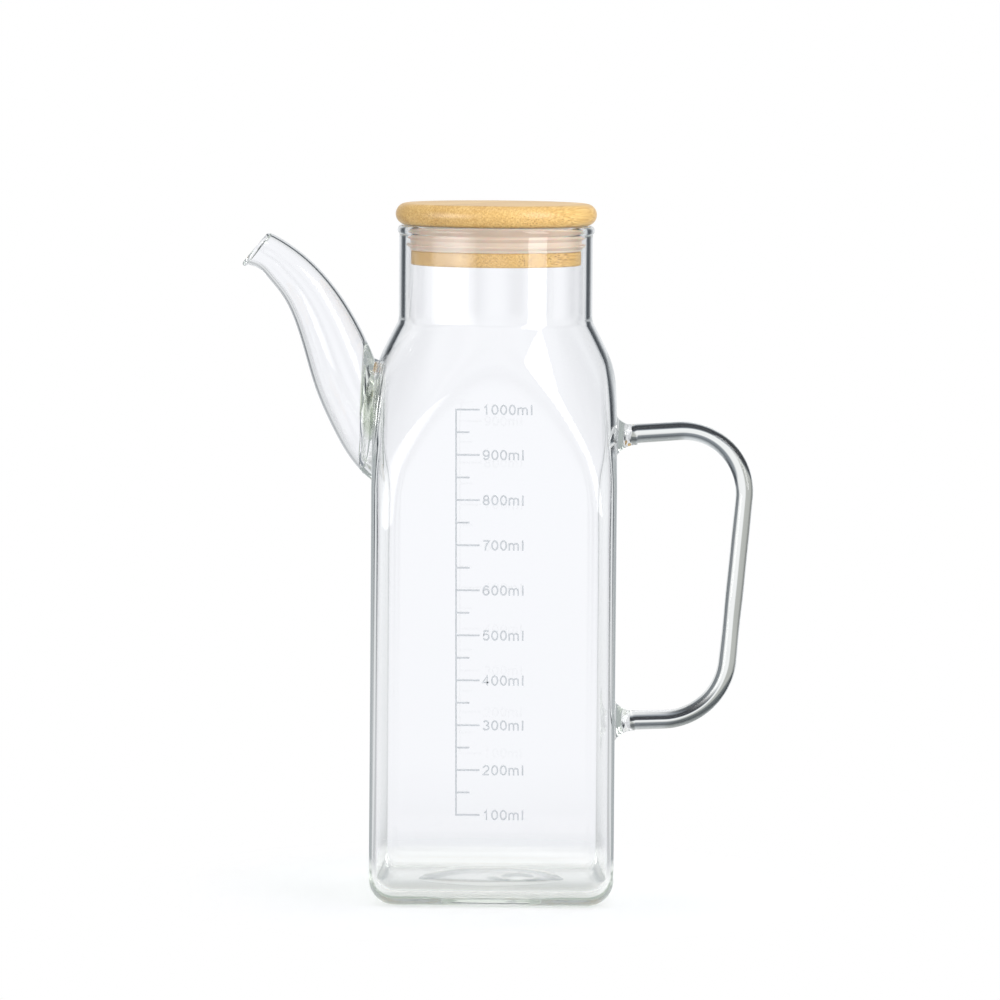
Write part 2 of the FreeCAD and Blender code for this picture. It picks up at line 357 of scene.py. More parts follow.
def placed(angles, reach, heights):
    """Points from directions, reaches and heights."""
    z = np.broadcast_to(np.asarray(heights, float)[:, None], reach.shape)
    return np.stack([reach * np.cos(angles), reach * np.sin(angles), z], axis=-1)


def bottle_form(name, inset, neck, base, top):
    """The closed form of bottom, heel, sides, shoulder and neck, moved inwards by inset.

    The dish is rings whose height falls by a power of their share of its radius; outside, a
    round wave that dies away by a bell curve marks it. The foot's rings pass evenly from the
    dish's circle to the rounded square.
    """
    angles = column_directions()
    heel = HEEL_RADIUS - inset
    outside = base == 0
    dish_share = np.linspace(0.02, 1, DISH_RINGS if outside else FLOOR_RINGS)
    rise = PUSH_UP_RISE if outside else INNER_RISE
    dish_z = base + rise * (1 - dish_share ** DISH_FLATNESS)
    dish = np.repeat((PUSH_UP_RADIUS * dish_share)[:, None], len(angles), axis=1)
    dish_points = placed(angles, dish, dish_z)
    if outside:
        from_mark = np.hypot(dish_points[:, :, 0] - MARK_ASIDE, 0.75 * dish_points[:, :, 1])
        mark_share = from_mark / MARK_RADIUS
        dish_points[:, :, 2] += MARK_DEPTH * np.exp(-mark_share ** 2) * np.cos(np.pi * mark_share)
    foot_square = square_reach(
        angles, HALF_WIDTH - inset - heel, max(CORNER_RADIUS - inset - heel, 0.5)
    )
    foot_share = np.linspace(0, 1, FOOT_RINGS)[1:, None]
    foot = PUSH_UP_RADIUS + (foot_square[None, :] - PUSH_UP_RADIUS) * foot_share
    turn = np.linspace(0, np.pi / 2, HEEL_RINGS)[1:]
    arch_low = CREASE_Z - SHOULDER_HEIGHT - SHOULDER_BELOW
    crease_low, crease_high = CREASE_Z - CREASE_BELOW, CREASE_Z + CREASE_ABOVE
    heights = np.concatenate([
        base + heel * (1 - np.cos(turn)),
        np.linspace(base + heel, arch_low, SIDE_RINGS)[1:],
        np.linspace(arch_low, crease_low, SHOULDER_RINGS)[1:],
        np.linspace(crease_low, crease_high, CREASE_RINGS)[1:],
        np.linspace(crease_high, top, NECK_RINGS)[1:],
    ])
    side = wall_rings(angles, heights, inset, neck, heel, base)
    return rings_mesh(name, np.concatenate([
        dish_points,
        placed(angles, foot, np.full(len(foot), float(base))),
        placed(angles, side, heights),
    ]))


def bead(name, middle, outward, sideways, steps):
    """A closed bead along a ring of middle points.

    At each of them its section is the oval cos(t) outward + sin(t) sideways.
    """
    turn = full_turn(steps)[:, None, None]
    rings = middle + np.cos(turn) * outward + np.sin(turn) * sideways
    return rings_mesh(name, rings, False, False)


def rim_bead():
    """The fire-polished rim: an oval carried round the neck's upper edge."""
    inner = NECK_RADIUS - NECK_WALL - RIM_BEAD_INWARD
    outer = NECK_RADIUS + RIM_FLARE
    turn = full_turn(RIM_COLUMNS)
    outward = np.stack([np.cos(turn), np.sin(turn), np.zeros_like(turn)], axis=-1)
    middle = (inner + outer) / 2 * outward + [0, 0, RIM_Z - RIM_BEAD_HEIGHT / 2]
    return bead("rim_bead", middle, (outer - inner) / 2 * outward,
                np.array([0, 0, RIM_BEAD_HEIGHT / 2]), RIM_STEPS)


# ---- Spout ----
def spout_line():
    """Centres, headings and outside radii along the spout, from inside the body to the mouth.

    In the last stretch the headings lean over to the mouth's own axis.
    """
    knots = [(-HALF_WIDTH - out, CREASE_Z - down, size) for out, down, size in SPOUT_STATIONS]
    line = smooth_curve(knots, np.linspace(0, 1, SPOUT_RINGS))
    centres = np.stack([line[:, 0], np.zeros(SPOUT_RINGS), line[:, 1]], axis=-1)
    to_mouth = np.linalg.norm(centres - centres[-1], axis=1)[:, None]
    lean = eased(np.clip(1 - to_mouth / LIP_TURN, 0, 1))
    tilt = math.radians(LIP_TILT)
    lip = np.array([-math.cos(tilt), 0, math.sin(tilt)])
    ahead = headings(centres) * (1 - lean) + lip * lean
    return centres, unit(ahead), line[:, 2] / 2


def spout_tube():
    """The spout's outside as a closed tube that ends in the middle of the lip."""
    centres, ahead, radii = spout_line()
    centres[-1] -= ahead[-1] * SPOUT_WALL / 2
    return rings_mesh("spout_outside", rings_along(centres, ahead, radii, SPOUT_COLUMNS))


def spout_bore():
    """The spout's inside as a closed tube, lengthened past the mouth.

    Near the face every point draws in towards the middle line at its own distance from the face,
    down to a share of its width, so the root keeps a thick ring of glass.
    """
    centres, ahead, radii = spout_line()
    line = centres[::-1]
    centres = np.vstack([centres, centres[-1] + ahead[-1] * BORE_OVERRUN])
    ahead = np.vstack([ahead, ahead[-1]])
    bore_radii = np.append(radii, radii[-1]) - SPOUT_WALL
    rings = rings_along(centres, ahead, bore_radii, SPOUT_COLUMNS)
    out = -HALF_WIDTH - rings[:, :, 0]
    open_share = np.clip((out - ROOT_START) / (ROOT_END - ROOT_START), 0, 1)
    keep = ROOT_SHARE + (1 - ROOT_SHARE) * eased(open_share)
    z = np.interp(rings[:, :, 0], line[:, 0], line[:, 2])
    rings[:, :, 1] *= keep
    rings[:, :, 2] = z + (rings[:, :, 2] - z) * keep
    return rings_mesh("spout_inside", rings)


def mouth_bead():
    """The fire-polished lip: a thin ring along the spout's mouth, a circle carried round one."""
    centres, headings_along, radii = spout_line()
    ahead = headings_along[-1]
    thick = SPOUT_WALL / 2 + LIP_SWELL
    side = np.array([0.0, 1.0, 0.0])
    turn = full_turn(MOUTH_COLUMNS)[:, None]
    outward = np.cos(turn) * np.cross(side, ahead) + np.sin(turn) * side
    radius = radii[-1] - SPOUT_WALL / 2 - LIP_INWARD
    middle = centres[-1] - ahead * thick + radius * outward
    return bead("mouth_bead", middle, thick * outward, thick * ahead, MOUTH_STEPS)


def weld_collar():
    """The melted seam round the spout's root: an uneven bead along the oval where they meet.

    Going round by an angle t from the top, the bead's middle is (WELD_HALF_WIDTH sin t,
    WELD_HALF_HEIGHT cos t) about the oval's middle. Its thickness swells by slow waves of t,
    and so does how far it stands out.
    """
    turn = full_turn(WELD_COLUMNS)
    thick = WELD_THICKNESS * (1 + 0.2 * np.sin(3 * turn + 0.7) + 0.14 * np.sin(8 * turn + 2)
                              + 0.25 * np.cos(turn))
    lean = WELD_LEAN * (1 + 0.2 * np.sin(5 * turn + 1) - 0.4 * np.cos(turn))
    outward = np.stack([np.zeros_like(turn), np.sin(turn), np.cos(turn)], axis=-1)
    middle = outward * [0, WELD_HALF_WIDTH, WELD_HALF_HEIGHT] + [-HALF_WIDTH, 0, WELD_Z]
    middle[:, 0] -= lean
    return bead("weld_collar", middle, thick[:, None] * outward,
                thick[:, None] * [WELD_DEPTH, 0, 0], WELD_STEPS)


# ---- Handle ----
def bend_points(before, corner, after, radius, count):
    """Points along the arc that rounds a corner of a path, in the plane of the three points."""
    back = unit(before - corner)
    onward = unit(after - corner)
    half = math.acos(float(back @ onward)) / 2
    centre = corner + unit(back + onward) * radius / math.sin(half)
    start = (corner + back * radius / math.tan(half) - centre) / radius
    sweep = np.linspace(0, math.pi - 2 * half, count)
    return centre + radius * (np.cos(sweep)[:, None] * start - np.sin(sweep)[:, None] * back)


def handle_rod():
    """The rod: a circle carried along the runs and bends, thicker near both ends.

    The extra falls by half a cosine wave. Between the ends, two small waves of the length vary
    the radius, as in drawn glass.
    """
    top_root = np.array([HALF_WIDTH - ROOT_DEPTH, 0, CREASE_Z - TOP_ROOT_DROP])
    bottom_root = np.array([HALF_WIDTH - ROOT_DEPTH, 0, BOTTOM_ROOT_Z])
    grip_top = np.array([HALF_WIDTH + GRIP_TOP[0], 0, CREASE_Z + GRIP_TOP[1]])
    grip_bottom = np.array([HALF_WIDTH + GRIP_BOTTOM[0], 0, GRIP_BOTTOM[1]])
    upper = bend_points(top_root, grip_top, grip_bottom, TOP_BEND, BEND_POINTS)
    lower = bend_points(grip_top, grip_bottom, bottom_root, BOTTOM_BEND, BEND_POINTS)

    def run(start, end, count):
        """Evenly spaced points from start on, without end itself."""
        return start + (end - start) * np.linspace(0, 1, count, endpoint=False)[:, None]

    path = np.concatenate([
        run(top_root, upper[0], RUN_POINTS),
        upper[:-1],
        run(upper[-1], lower[0], GRIP_POINTS),
        lower[:-1],
        run(lower[-1], bottom_root, RUN_POINTS),
        bottom_root[None],
    ])
    length = np.concatenate([[0], np.cumsum(np.linalg.norm(np.diff(path, axis=0), axis=1))])
    end_share = np.clip(np.minimum(length, length[-1] - length) / ROD_TAPER, 0, 1)
    extra = ROD_THICKER * 0.5 * (1 + np.cos(np.pi * end_share))
    wobble = 0.05 * np.sin(length / 6.1) + 0.04 * np.sin(length / 3.7 + 1)
    radii = (ROD_DIAMETER + extra) / 2 + wobble * np.clip(end_share * 3 - 1, 0, 1)
    return rings_mesh("handle_rod", rings_along(path, headings(path), radii, ROD_COLUMNS))


def handle_foot(name, z, radius, lean):
    """A melted foot: a trumpet that opens onto the flat face, turned about the rod's end.

    Its reach falls along a hollow quarter curve, with three soft lobes where the glass flowed.
    """
    out = np.linspace(-FOOT_DEPTH, FOOT_LENGTH, FOOT_SLICES)
    share = np.clip(out / FOOT_LENGTH, 0, 1)
    rod = (ROD_DIAMETER + ROD_THICKER) / 2 - FOOT_UNDERCUT
    reach = rod + (radius - rod) * (1 - np.sqrt(1 - (1 - share) ** 2))
    turn = full_turn(FOOT_COLUMNS)
    lobes = 1 + LOBE_HEIGHT * (1 - share[:, None]) * np.sin(3 * turn + lean)
    size = reach[:, None] * lobes
    x = np.broadcast_to((HALF_WIDTH + out)[:, None], size.shape)
    rings = np.stack([x, size * np.cos(turn), z + size * np.sin(turn)], axis=-1)
    return rings_mesh(name, rings)


def within_box(piece, low, high):
    """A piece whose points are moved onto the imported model's box where they pass it by a hair."""
    count = len(piece.data.vertices)
    points = np.empty(count * 3)
    piece.data.vertices.foreach_get("co", points)
    points = np.clip(points.reshape(count, 3), low * MM, high * MM)
    piece.data.vertices.foreach_set("co", points.ravel())
    piece.data.update()
    return piece


def glass_jug():
    """Body, neck, spout and handle, melted into one piece of glass."""
    outside = bottle_form("outside", 0, NECK_RADIUS, 0, RIM_Z - RIM_BEAD_HEIGHT / 2)
    inside = bottle_form("inside", WALL, NECK_RADIUS - NECK_WALL, FLOOR, RIM_Z + NECK_OVERRUN)
    return within_box(combined("glass_jug_blown", outside, [
        ("UNION", spout_tube()),
        ("UNION", weld_collar()),
        ("UNION", handle_rod()),
        ("UNION", handle_foot("top_foot", CREASE_Z - TOP_ROOT_DROP, TOP_FOOT_RADIUS, 0.6)),
        ("UNION", handle_foot("low_foot", BOTTOM_ROOT_Z, LOW_FOOT_RADIUS, 2.1)),
        ("DIFFERENCE", inside),
        ("DIFFERENCE", spout_bore()),
        ("UNION", rim_bead()),
        ("UNION", mouth_bead()),
    ]), GLASS_LOW, GLASS_HIGH)


# ---- Lid and seal ----
GROOVE_DEPTH = 2.2
GROOVE_HEIGHT = 8.7
PLUG_CLEARANCE = 1.9         # between the plug's flange and the neck's bore
FLANGE_HEIGHT = 5.0
FLANGE_EASE = 0.6            # small rounding of the flange's edges
FLANGE_RADIUS = NECK_RADIUS - NECK_WALL - PLUG_CLEARANCE
EDGE_EASE = 0.02             # chamfer of the groove's inner edges
SEAL_BAND = 2.3              # thickness of the seal's band
SEAL_EASE = 0.2              # chamfer of the band's lower edge
SEAL_FIT = 0.1               # between the seal's bore and the groove
FIN_COUNT = 3
FIN_HEIGHT = 1.5             # at its root
FIN_TIP = 0.45               # thickness at its edge
TURNED_COLUMNS = 256


def turned(profile):
    """Rings about Z from a profile of (radius, height) points that runs upwards outside."""
    profile = np.asarray(profile, float)
    angles = full_turn(TURNED_COLUMNS)
    reach = np.repeat(profile[:, :1], TURNED_COLUMNS, axis=1)
    return placed(angles, reach, profile[:, 1])


def quarter(centre_r, centre_z, radius, start, end, count=8):
    """Points on an arc of a profile, angles in degrees from the outward level direction."""
    turn = np.radians(np.linspace(start, end, count))
    arc = np.stack([centre_r + radius * np.cos(turn), centre_z + radius * np.sin(turn)], axis=-1)
    return arc.tolist()


def bamboo_lid():
    """The lid: a disc with a full round edge, and under it a grooved plug, from one profile."""
    groove = FLANGE_RADIUS - GROOVE_DEPTH
    flange_top = RIM_Z - GROOVE_HEIGHT
    flange_bottom = flange_top - FLANGE_HEIGHT
    nose = (LID_TOP - RIM_Z) / 2
    ease = FLANGE_RADIUS - FLANGE_EASE
    profile = [(share * ease, flange_bottom) for share in (0.25, 0.5, 0.75)]
    profile += quarter(ease, flange_bottom + FLANGE_EASE, FLANGE_EASE, -90, 0)
    profile += quarter(ease, flange_top - FLANGE_EASE, FLANGE_EASE, 0, 90)
    profile += [(groove + EDGE_EASE, flange_top), (groove, flange_top + EDGE_EASE)]
    profile += [(groove, RIM_Z - EDGE_EASE), (groove + EDGE_EASE, RIM_Z)]
    profile += quarter(LID_RADIUS - nose, RIM_Z + nose, nose, -90, 90, 28)
    profile += [(share * (LID_RADIUS - nose), LID_TOP) for share in (0.75, 0.5, 0.25)]
    return rings_mesh("bamboo_lid_turned", turned(profile))


def silicone_seal():
    """The seal: a band in the plug's groove with soft fins, one closed profile carried round.

    Each fin slopes out from the band over most of its height and is cut level above.
    """
    bore = FLANGE_RADIUS - GROOVE_DEPTH + SEAL_FIT
    band = bore + SEAL_BAND
    edge = SEAL_HIGH[0]
    bottom = SEAL_LOW[2]
    pitch = (SEAL_HIGH[2] - bottom) / FIN_COUNT
    round_tip = FIN_TIP / 2
    profile = [(bore, bottom), (band - SEAL_EASE, bottom), (band, bottom + SEAL_EASE)]
    for number in range(FIN_COUNT):
        root = bottom + pitch * (number + 0.5) - FIN_HEIGHT / 2
        middle = root + FIN_HEIGHT - round_tip
        profile.append((band, root))
        profile += quarter(edge - round_tip, middle, round_tip, -60, 90, 6)
        profile.append((band, root + FIN_HEIGHT))
    profile += [(band, SEAL_HIGH[2]), (bore, SEAL_HIGH[2])]
    return rings_mesh("silicone_seal_moulded", turned(profile), False, False)


# ---- Printed scale ----
PRINT_Z = 32.57              # height of the lowest mark
PRINT_STEP = 15.5            # between marks of a hundred
PRINT_MARKS = 10
PRINT_LINE = 0.6             # thickness of the lines
LETTER_LINE = 0.55
PRINT_LEFT = -12.7           # the upright line
LONG_TICK = 8.1
SHORT_TICK = 4.6
TEXT_LEFT = -3.9
TEXT_HEIGHT = 3.5
TEXT_STRETCH = 1.09
PRINT_LEAN = 0.4             # degrees that the print leans over to the left
PRINT_LIFT = 0.004           # between the glass and the print
PRINT_LAYERS = 5             # strokes that cross lie in different thin layers
LAYER_LIFT = 0.1             # how much a layer's back lies further out than the last one's,
LAYER_THINNER = 0.08         # and its front further in, as shares of lift and thickness


def bow(x, z, reach_x, reach_z, start, end, count=20):
    """Points on an oval arc of a letter, angles in degrees."""
    turn = np.radians(np.linspace(start, end, count))
    return np.stack([x + reach_x * np.cos(turn), z + reach_z * np.sin(turn)], axis=-1)


def ring_stroke(x, z, reach_x, reach_z):
    """A closed oval stroke."""
    return bow(x, z, reach_x, reach_z, 0, 342, 20), True


def open_stroke(*parts):
    """An open stroke through single points and arcs."""
    return np.vstack([np.atleast_2d(part) for part in parts]), False


SIX_TAIL = open_stroke((0.61, 0.78), (0.52, 0.90), (0.40, 0.935), (0.28, 0.89), (0.18, 0.74),
                       (0.14, 0.52), (0.14, 0.34))[0]
# Plain upright letters as strokes along their middle lines, with the width each takes. The
# height is 1 with the stroke's own thickness.
LETTERS = {
    "0": (0.78, [ring_stroke(0.39, 0.5, 0.255, 0.435)]),
    "1": (0.78, [open_stroke((0.22, 0.71), (0.33, 0.75), (0.43, 0.935), (0.43, 0.0))]),
    "2": (0.78, [open_stroke(bow(0.39, 0.68, 0.245, 0.255, 170, -30), (0.13, 0.065),
                             (0.66, 0.065))]),
    "3": (0.78, [open_stroke(bow(0.38, 0.72, 0.22, 0.215, 160, -90)),
                 open_stroke(bow(0.38, 0.285, 0.255, 0.22, 90, -160))]),
    "4": (0.78, [open_stroke((0.50, 0.0), (0.50, 0.935), (0.10, 0.30), (0.70, 0.30))]),
    "5": (0.78, [open_stroke((0.63, 0.935), (0.24, 0.935), (0.17, 0.50),
                             bow(0.385, 0.345, 0.255, 0.28, 125, -155))]),
    "6": (0.78, [ring_stroke(0.39, 0.34, 0.25, 0.275), (SIX_TAIL, False)]),
    "7": (0.78, [open_stroke((0.12, 0.935), (0.66, 0.935), (0.48, 0.66), (0.36, 0.36),
                             (0.31, 0.0))]),
    "8": (0.78, [ring_stroke(0.39, 0.715, 0.205, 0.22), ring_stroke(0.39, 0.285, 0.25, 0.22)]),
    "9": (0.78, [ring_stroke(0.39, 0.66, 0.25, 0.275), ([0.78, 1.0] - SIX_TAIL, False)]),
    "m": (1.17, [open_stroke((0.13, 0.0), (0.13, 0.72)),
                 open_stroke((0.13, 0.50), bow(0.33, 0.50, 0.20, 0.19, 160, 0), (0.53, 0.0)),
                 open_stroke((0.53, 0.50), bow(0.73, 0.50, 0.20, 0.19, 160, 0), (0.93, 0.0))]),
    "l": (0.33, [open_stroke((0.17, 0.0), (0.17, 1.0))]),
}


def stroke_surface(line, closed, thickness, layer):
    """A printed stroke on the front face: a flat bar carried along a line of (x, z) points.

    At each point the bar lies square to the mean of the two steps that meet there, widened by
    one over the cosine of half their angle, so that its thickness stays even.
    """
    line = np.asarray(line, float)
    steps = unit(np.diff(np.vstack([line, line[:1]]) if closed else line, axis=0))
    before = np.roll(steps, 1, axis=0) if closed else np.vstack([steps[:1], steps])
    after = steps if closed else np.vstack([steps, steps[-1:]])
    ahead = unit(before + after)
    widen = 1 / np.clip((ahead * after).sum(axis=1), 0.5, 1)
    half = thickness / 2 * widen[:, None]
    across = np.stack([ahead[:, 1], -ahead[:, 0]], axis=-1) * half
    back = -HALF_WIDTH - PRINT_LIFT * (1 + LAYER_LIFT * layer)
    front = -HALF_WIDTH - PRINT_THICKNESS * (1 - LAYER_THINNER * layer)
    corners = [(line + across, front), (line + across, back),
               (line - across, back), (line - across, front)]
    rings = np.stack([
        np.stack([place[:, 0], np.full(len(line), y), place[:, 1]], axis=-1)
        for place, y in corners
    ], axis=1)
    return rings_surface(rings, not closed, not closed)


def printed_scale():
    """The volume scale: an upright line, long and short ticks and the numbers, as one print."""
    top = PRINT_Z + PRINT_STEP * (PRINT_MARKS - 1)
    half = PRINT_LINE / 2
    strokes = [([(PRINT_LEFT, PRINT_Z - half), (PRINT_LEFT, top + half)], False, PRINT_LINE)]
    for number in range(2 * PRINT_MARKS - 1):
        z = PRINT_Z + number * PRINT_STEP / 2
        reach = SHORT_TICK if number % 2 else LONG_TICK
        strokes.append(([(PRINT_LEFT + half, z), (PRINT_LEFT + reach, z)], False, PRINT_LINE))
    for number in range(PRINT_MARKS):
        start = np.array([TEXT_LEFT, PRINT_Z + number * PRINT_STEP - TEXT_HEIGHT / 2])
        for letter in f"{100 * (number + 1)}ml":
            width, lines = LETTERS[letter]
            size = np.array([TEXT_HEIGHT * TEXT_STRETCH, TEXT_HEIGHT])
            strokes += [(start + line * size, closed, LETTER_LINE) for line, closed in lines]
            start = start + [width * size[0], 0]
    surfaces = [stroke_surface(*stroke, number % PRINT_LAYERS)
                for number, stroke in enumerate(strokes)]
    starts = np.cumsum([0] + [len(points) for points, _ in surfaces])
    faces = [[i + start for i in face] for start, (_, part) in zip(starts, surfaces)
             for face in part]
    points = np.vstack([points for points, _ in surfaces])
    points[:, 0] -= (points[:, 2] - (PRINT_Z + top) / 2) * math.tan(math.radians(PRINT_LEAN))
    scale = mesh_object("printed_scale", points, faces)
    scale.data.shade_flat()
    return scale


# ---- Materials ----
# Borosilicate glass
WAVE_WIDTH = 7.0             # of the waves in the blown wall, across the jug
WAVE_LENGTH = 45.0           # and along it
WAVE_DEPTH = 0.006
SEAM_RISE = 7.0              # the greenest part of the seam, over the seam's middle
SEAM_OUT = 1.6               # its distance out from the face, half width and half length
SEAM_WIDTH = 3.4
SEAM_LENGTH = 16.0
NO_LIMIT = 1e6               # a length far larger than the jug
FOOT_SHADE = 1.2             # height up to which the foot's edge takes more of the lamps' light
MOST_BOUNCES = 9             # of a ray inside the wall before it gets out
# Bamboo
FIBRE_TURN = -28.0           # degrees from the front, towards the spout, that the fibres point
STRIP_WIDTH = 6.5            # of the glued strips
PORE_SPACING = 0.65          # real pores are 0.3 mm apart; drawn coarser so that they show
PORE_LENGTH = 9.1            # along the fibres
PORE_DEPTH = 0.2
STREAK_WIDTH = 0.5           # of the lengthwise streaks
STREAK_LENGTH = 22.0
# Lengths that one unit of a noise pattern stands for
PATCH_SIZE = 9.09            # of the bamboo's patches with more or fewer fibre bundles
CLOUD_SIZE = 11.11           # of the silicone's faint clouds
GRAIN_SIZE = 1.4286          # of the enamel's uneven thickness
SCATTER_DEPTH = 2.0          # how far light spreads in the silicone


def linear(hex_colour):
    """An sRGB hex colour as linear red, green, blue and 1."""
    values = [int(hex_colour[i:i + 2], 16) / 255 for i in (1, 3, 5)]
    return tuple(v / 12.92 if v <= 0.04045 else ((v + 0.055) / 1.055) ** 2.4 for v in values) + (1,)


def empty_material(name):
    """A material without nodes, and its tree."""
    material = bpy.data.materials.new(name)
    material.use_nodes = True
    material.node_tree.nodes.clear()
    return material, material.node_tree


def node(tree, kind, inputs=None, stops=None, out=0, **settings):
    """An output socket of a new node, by its number or name, or all of them for out=None.

    Settings name a property, or an input by its name with underscores for spaces. Inputs map an
    input's name or number to an output socket, a value or a hex colour. Stops are a ramp's
    values and hex colours.
    """
    made = tree.nodes.new("ShaderNode" + kind)
    for key, value in settings.items():
        if hasattr(made, key):
            setattr(made, key, value)
        else:
            made.inputs[key.replace("_", " ")].default_value = value
    for key, value in (inputs or {}).items():
        if isinstance(value, bpy.types.NodeSocket):
            tree.links.new(value, made.inputs[key])
        else:
            made.inputs[key].default_value = linear(value) if isinstance(value, str) else value
    if stops:
        elements = made.color_ramp.elements
        elements[0].position, elements[1].position = stops[0][0], stops[-1][0]
        elements[0].color, elements[1].color = linear(stops[0][1]), linear(stops[-1][1])
        for position, colour in stops[1:-1]:
            elements.new(position).color = linear(colour)
    return made.outputs if out is None else made.outputs[out]


def borosilicate_glass():
    """Borosilicate glass, blown and flame-worked: clear, IOR 1.47, faint green where it is thick.

    The surface is very slightly wavy along the jug, from the blowing, and the melted seam over
    the spout's root is greener, being thick. Rays from lamps pass with a small loss, greater at
    the foot's edge, which bends light away. A ray caught between the two faces of the wall gets
    out after some bounces, as it does at the small flaws of a real wall.
    """
    material, tree = empty_material("borosilicate glass, blown")
    place = node(tree, "TexCoord", out="Object")
    across, along = 1 / (WAVE_WIDTH * MM), 1 / (WAVE_LENGTH * MM)
    drawn = node(tree, "Mapping", {0: place}, Scale=(across, across, along))
    waves = node(tree, "TexNoise", {0: drawn}, Scale=1.0, Detail=2.0)
    bump = node(tree, "Bump", {"Height": waves}, Strength=1.0, Distance=WAVE_DEPTH * MM)
    seam = node(tree, "Mapping", {0: place}, vector_type="TEXTURE",
                Location=((-HALF_WIDTH - SEAM_OUT) * MM, 0, (WELD_Z + SEAM_RISE) * MM),
                Scale=(SEAM_WIDTH * MM, NO_LIMIT * MM, SEAM_LENGTH * MM))
    away = node(tree, "VectorMath", {0: seam}, operation="LENGTH", out="Value")
    share = node(tree, "MapRange", {0: away}, interpolation_type="SMOOTHSTEP", From_Min=0.5,
                 From_Max=1.0, To_Min=1.0, To_Max=0.0)
    tint = node(tree, "Mix", {0: share, 6: "#FFFFFF", 7: "#EEF1EA"}, data_type="RGBA", out=2)
    glass = node(tree, "BsdfPrincipled", {"Normal": bump, "Base Color": tint}, Roughness=0.0,
                 IOR=1.47, Transmission_Weight=1.0)
    path = node(tree, "LightPath", out=None)
    caught = node(tree, "Math", {0: path["Ray Depth"], 1: MOST_BOUNCES}, operation="GREATER_THAN")
    straight = node(tree, "Math", {0: path["Is Shadow Ray"], 1: caught}, operation="MAXIMUM")
    high = node(tree, "SeparateXYZ", {0: place}, out=2)
    above_foot = node(tree, "MapRange", {0: high}, interpolation_type="SMOOTHSTEP",
                      From_Min=0.4 * FOOT_SHADE * MM, From_Max=FOOT_SHADE * MM)
    loss = node(tree, "Mix", {0: above_foot, 6: "#DCE0DD", 7: "#FBFCFB"}, data_type="RGBA", out=2)
    passing = node(tree, "BsdfTransparent", {"Color": loss})
    mixed = node(tree, "MixShader", {0: straight, 1: glass, 2: passing})
    depth = node(tree, "VolumeAbsorption", {"Color": "#EEF2EA"}, Density=9.0)
    node(tree, "OutputMaterial", {"Surface": mixed, "Volume": depth}, out=None)
    return material


def turned_bamboo():
    """Bamboo strips glued side by side, turned, sanded and oiled: satin, warm straw colour.

    The fibre bundles are thin brown rods along one direction: dots where the surface cuts them
    across, streaks where it runs along them, closer together towards the underside. Each strip
    has its own tone.
    """
    material, tree = empty_material("bamboo, turned and sanded")
    place = node(tree, "TexCoord", out="Object")
    along = node(tree, "Mapping", {0: place}, Rotation=(0, 0, math.radians(-FIBRE_TURN)))
    across = 1 / (PORE_SPACING * MM)
    rods = node(tree, "Mapping", {0: along}, Scale=(across, 1 / (PORE_LENGTH * MM), across))
    pores = node(tree, "TexVoronoi", {0: rods}, Scale=1.0, Randomness=1.0)
    dots = node(tree, "MapRange", {0: pores}, interpolation_type="SMOOTHSTEP", From_Min=0.16,
                From_Max=0.42, To_Min=1.0, To_Max=0.0)
    patches = node(tree, "TexNoise", {0: along}, Scale=1 / (PATCH_SIZE * MM), Detail=2.0)
    crowd = node(tree, "MapRange", {0: patches}, From_Min=0.35, From_Max=0.65, To_Min=0.15,
                 To_Max=0.8)
    high = node(tree, "SeparateXYZ", {0: place}, out=2)
    lower = node(tree, "MapRange", {0: high}, From_Min=(RIM_Z + 0.5) * MM,
                 From_Max=(LID_TOP - 2) * MM, To_Min=1.3, To_Max=0.35)
    crowded = node(tree, "Math", {0: crowd, 1: lower}, operation="MULTIPLY")
    brown = node(tree, "Math", {0: dots, 1: crowded}, operation="MULTIPLY")
    across = 1 / (STREAK_WIDTH * MM)
    lengthwise = node(tree, "Mapping", {0: along},
                      Scale=(across, 1 / (STREAK_LENGTH * MM), across))
    streaks = node(tree, "TexNoise", {0: lengthwise}, Scale=1.0, Detail=3.0)
    sideways = node(tree, "SeparateXYZ", {0: along})
    strip = node(tree, "Math", {0: sideways, 1: STRIP_WIDTH * MM}, operation="SNAP")
    tone = node(tree, "TexWhiteNoise", {"W": strip}, noise_dimensions="1D")
    base = node(tree, "ValToRGB", {0: streaks}, [(0.32, "#D3A355"), (0.68, "#F0CC84")])
    toned = node(tree, "Mix", {0: tone, 6: base, 7: "#F1EADC"}, data_type="RGBA",
                 blend_type="MULTIPLY", out=2)
    coloured = node(tree, "Mix", {0: brown, 6: toned, 7: "#A5702F"}, data_type="RGBA", out=2)
    rough = node(tree, "MapRange", {0: streaks}, To_Min=0.38, To_Max=0.55)
    bump = node(tree, "Bump", {"Height": brown}, Strength=0.25, Distance=PORE_DEPTH * MM,
                invert=True)
    wood = node(tree, "BsdfPrincipled",
                {"Base Color": coloured, "Roughness": rough, "Normal": bump}, IOR=1.5,
                Coat_Weight=0.45, Coat_Roughness=0.28)
    node(tree, "OutputMaterial", {"Surface": wood}, out=None)
    return material


def moulded_silicone():
    """Silicone rubber, moulded, unpigmented: milky and soft, it takes a beige from the bamboo."""
    material, tree = empty_material("silicone rubber, moulded")
    place = node(tree, "TexCoord", out="Object")
    cloud = node(tree, "TexNoise", {0: place}, Scale=1 / (CLOUD_SIZE * MM), Detail=2.0)
    base = node(tree, "ValToRGB", {0: cloud}, [(0.0, "#D8C3AF"), (1.0, "#E6D6C6")])
    rubber = node(tree, "BsdfPrincipled", {"Base Color": base}, Roughness=0.42, IOR=1.41,
                  Subsurface_Weight=0.35, Subsurface_Scale=SCATTER_DEPTH * MM)
    node(tree, "OutputMaterial", {"Surface": rubber}, out=None)
    return material


